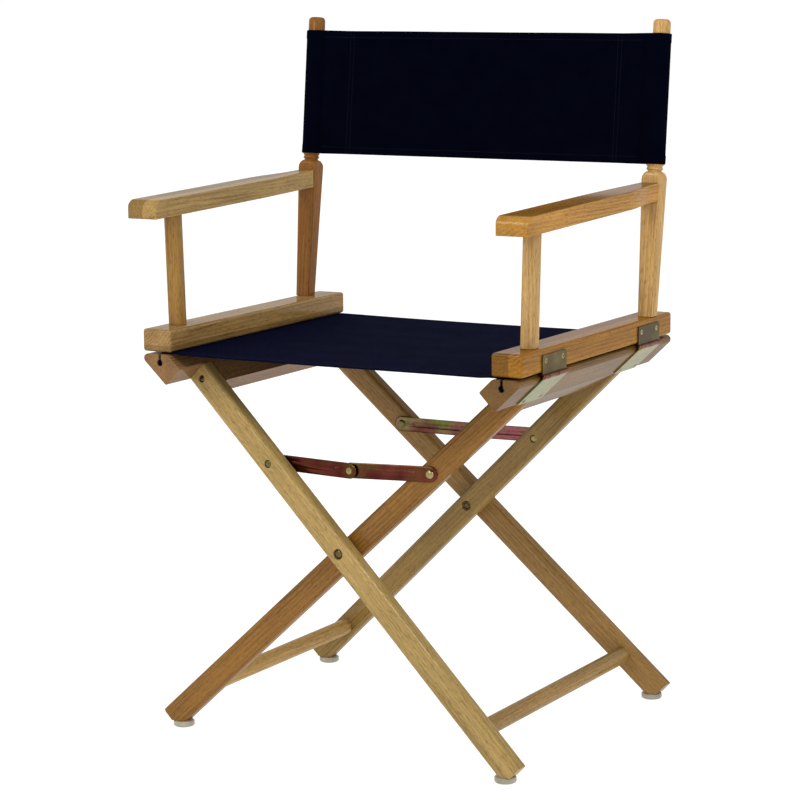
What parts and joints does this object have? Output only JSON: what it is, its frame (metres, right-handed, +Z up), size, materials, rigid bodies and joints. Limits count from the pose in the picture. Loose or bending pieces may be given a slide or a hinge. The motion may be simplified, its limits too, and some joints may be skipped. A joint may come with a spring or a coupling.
{
  "type": "folding director chair",
  "caption": "Folding chair with crossed wooden legs, arm rests on posts, steel stays and hinges, and a canvas seat and back.",
  "frame": {"origin": "on the floor, under the middle of the chair's outline seen from above", "axes": "+Z up, -Y the way the sitter faces, +X to the right as seen from the front"},
  "size_m": [0.5366, 0.4404, 0.8636],
  "materials": {
    "varnished_wood": "clear gloss varnish over straight-grained hardwood",
    "plated_steel": "zinc plated and yellow passivated, with pink and green tints",
    "seat_canvas": "navy cotton canvas, plain weave",
    "back_canvas": "navy cotton canvas, plain weave",
    "glide": "smooth moulded"
  },
  "bodies": {
    "outer_frame": {"leg_outer_front": "varnished_wood", "leg_screw_outer_front": "plated_steel", "foot_glide_outer_front": "glide", "stay_pin_outer_front": "plated_steel", "hinge_rail_leaf_left_front": "plated_steel", "hinge_pin_left_front": "plated_steel", "leg_outer_rear": "varnished_wood", "leg_screw_outer_rear": "plated_steel", "foot_glide_outer_rear": "glide", "stay_pin_outer_rear": "plated_steel", "hinge_rail_leaf_left_rear": "plated_steel", "hinge_pin_left_rear": "plated_steel", "seat_rail_left": "varnished_wood", "seat_dowel_left": "varnished_wood", "foot_stretcher_right": "varnished_wood", "pivot_bolt_front": "plated_steel", "pivot_nut_front": "plated_steel", "pivot_spacer_front": "plated_steel", "pivot_bolt_rear": "plated_steel", "pivot_nut_rear": "plated_steel", "pivot_spacer_rear": "plated_steel", "seat_canvas": "seat_canvas"},
    "inner_frame": {"leg_inner_front": "varnished_wood", "leg_screw_inner_front": "plated_steel", "foot_glide_inner_front": "glide", "stay_pin_inner_front": "plated_steel", "hinge_rail_leaf_right_front": "plated_steel", "hinge_pin_right_front": "plated_steel", "leg_inner_rear": "varnished_wood", "leg_screw_inner_rear": "plated_steel", "foot_glide_inner_rear": "glide", "stay_pin_inner_rear": "plated_steel", "hinge_rail_leaf_right_rear": "plated_steel", "hinge_pin_right_rear": "plated_steel", "seat_rail_right": "varnished_wood", "seat_dowel_right": "varnished_wood", "foot_stretcher_left": "varnished_wood"},
    "left_arm": {"arm_rail_left": "varnished_wood", "arm_post_front_left": "varnished_wood", "back_post_left": "varnished_wood", "arm_rest_left": "varnished_wood", "hinge_arm_leaf_left_front": "plated_steel", "hinge_arm_leaf_left_rear": "plated_steel", "back_canvas": "back_canvas"},
    "right_arm": {"arm_rail_right": "varnished_wood", "arm_post_front_right": "varnished_wood", "back_post_right": "varnished_wood", "arm_rest_right": "varnished_wood", "hinge_arm_leaf_right_front": "plated_steel", "hinge_arm_leaf_right_rear": "plated_steel"},
    "stay_outer_front": {"stay_link_outer_front": "plated_steel", "stay_rivet_outer_front": "plated_steel"},
    "stay_outer_rear": {"stay_link_outer_rear": "plated_steel", "stay_rivet_outer_rear": "plated_steel"},
    "stay_inner_front": {"stay_link_inner_front": "plated_steel", "stay_rivet_inner_front": "plated_steel"},
    "stay_inner_rear": {"stay_link_inner_rear": "plated_steel", "stay_rivet_inner_rear": "plated_steel"}
  },
  "joints": [
    {"name": "fold", "type": "hinge", "parent": "outer_frame", "child": "inner_frame", "pos_m": [0, 0, 0.242], "axis": [0, 1, 0], "range_deg": [-78, 0], "deforming": ["seat_canvas", "back_canvas"]},
    {"name": "arm_hinge_left", "type": "hinge", "parent": "outer_frame", "child": "left_arm", "pos_m": [-0.2593, 0, 0.4684], "axis": [0, 1, 0], "range_deg": [-39, 0]},
    {"name": "arm_hinge_right", "type": "hinge", "parent": "inner_frame", "child": "right_arm", "pos_m": [0.2593, 0, 0.4684], "axis": [0, 1, 0], "range_deg": [0, 39]},
    {"name": "stay_outer_front_pivot", "type": "hinge", "parent": "outer_frame", "child": "stay_outer_front", "pos_m": [-0.10283, -0.16576, 0.33993], "axis": [0.0622, 0.9963, -0.0592], "range_deg": [0, 39.68]},
    {"name": "stay_outer_rear_pivot", "type": "hinge", "parent": "outer_frame", "child": "stay_outer_rear", "pos_m": [-0.10283, 0.16576, 0.33993], "axis": [-0.0622, 0.9963, 0.0592], "range_deg": [0, 39.68]},
    {"name": "stay_inner_front_pivot", "type": "hinge", "parent": "inner_frame", "child": "stay_inner_front", "pos_m": [0.10283, -0.13676, 0.33993], "axis": [-0.0622, 0.9963, -0.0592], "range_deg": [-39.68, 0]},
    {"name": "stay_inner_rear_pivot", "type": "hinge", "parent": "inner_frame", "child": "stay_inner_rear", "pos_m": [0.10283, 0.13676, 0.33993], "axis": [0.0622, 0.9963, 0.0592], "range_deg": [-39.68, 0]}
  ],
  "couplings": [
    {"joint": "arm_hinge_left", "follows": "fold", "ratio": 0.5},
    {"joint": "arm_hinge_right", "follows": "fold", "ratio": -0.5},
    {"joint": "stay_outer_front_pivot", "follows": "fold", "ratio": -0.50806},
    {"joint": "stay_outer_rear_pivot", "follows": "fold", "ratio": -0.50806},
    {"joint": "stay_inner_front_pivot", "follows": "fold", "ratio": 0.50806},
    {"joint": "stay_inner_rear_pivot", "follows": "fold", "ratio": 0.50806}
  ]
}
